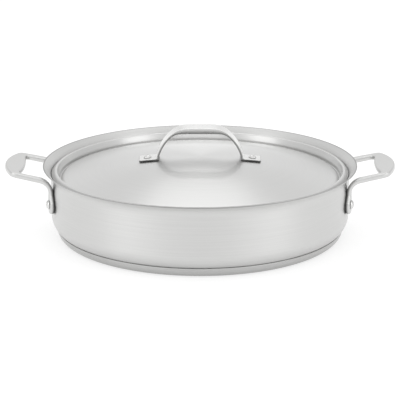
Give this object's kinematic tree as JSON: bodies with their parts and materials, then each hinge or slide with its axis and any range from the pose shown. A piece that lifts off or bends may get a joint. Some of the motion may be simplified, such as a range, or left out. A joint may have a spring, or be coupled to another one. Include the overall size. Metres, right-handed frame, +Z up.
{
  "type": "braiser",
  "caption": "Wide shallow round steel pan with a flared rim, encapsulated base, riveted loop side handles and a domed drop-in lid with an arched handle that lifts off.",
  "frame": {"origin": "centre of the base's underside, on the pan's axis", "axes": "+X towards the right handle, +Y to the back, +Z up along the pan's axis"},
  "size_m": [0.3936, 0.3168, 0.1113],
  "materials": {
    "pan_steel": "stainless steel brushed round the wall, satin",
    "base_steel": "stainless steel, fine brushed",
    "core_aluminium": "bare rolled sheet",
    "lid_steel": "stainless steel brushed in circles, satin",
    "handle_steel": "cast stainless steel, satin polished",
    "rivet_steel": "stainless steel, polished head"
  },
  "bodies": {
    "pan": {"pan_body": "pan_steel", "base_core": "core_aluminium", "base_cap": "base_steel", "left_handle": "handle_steel", "right_handle": "handle_steel", "left_handle_front_rivet": "rivet_steel", "left_handle_rear_rivet": "rivet_steel", "right_handle_front_rivet": "rivet_steel", "right_handle_rear_rivet": "rivet_steel"},
    "lid": {"lid": "lid_steel", "lid_handle": "handle_steel", "lid_handle_left_rivet": "rivet_steel", "lid_handle_right_rivet": "rivet_steel"}
  },
  "joints": [
    {"name": "lid_lift", "type": "slide", "parent": "pan", "child": "lid", "axis": [0, 0, 1], "range_m": [0, 0.12]}
  ]
}
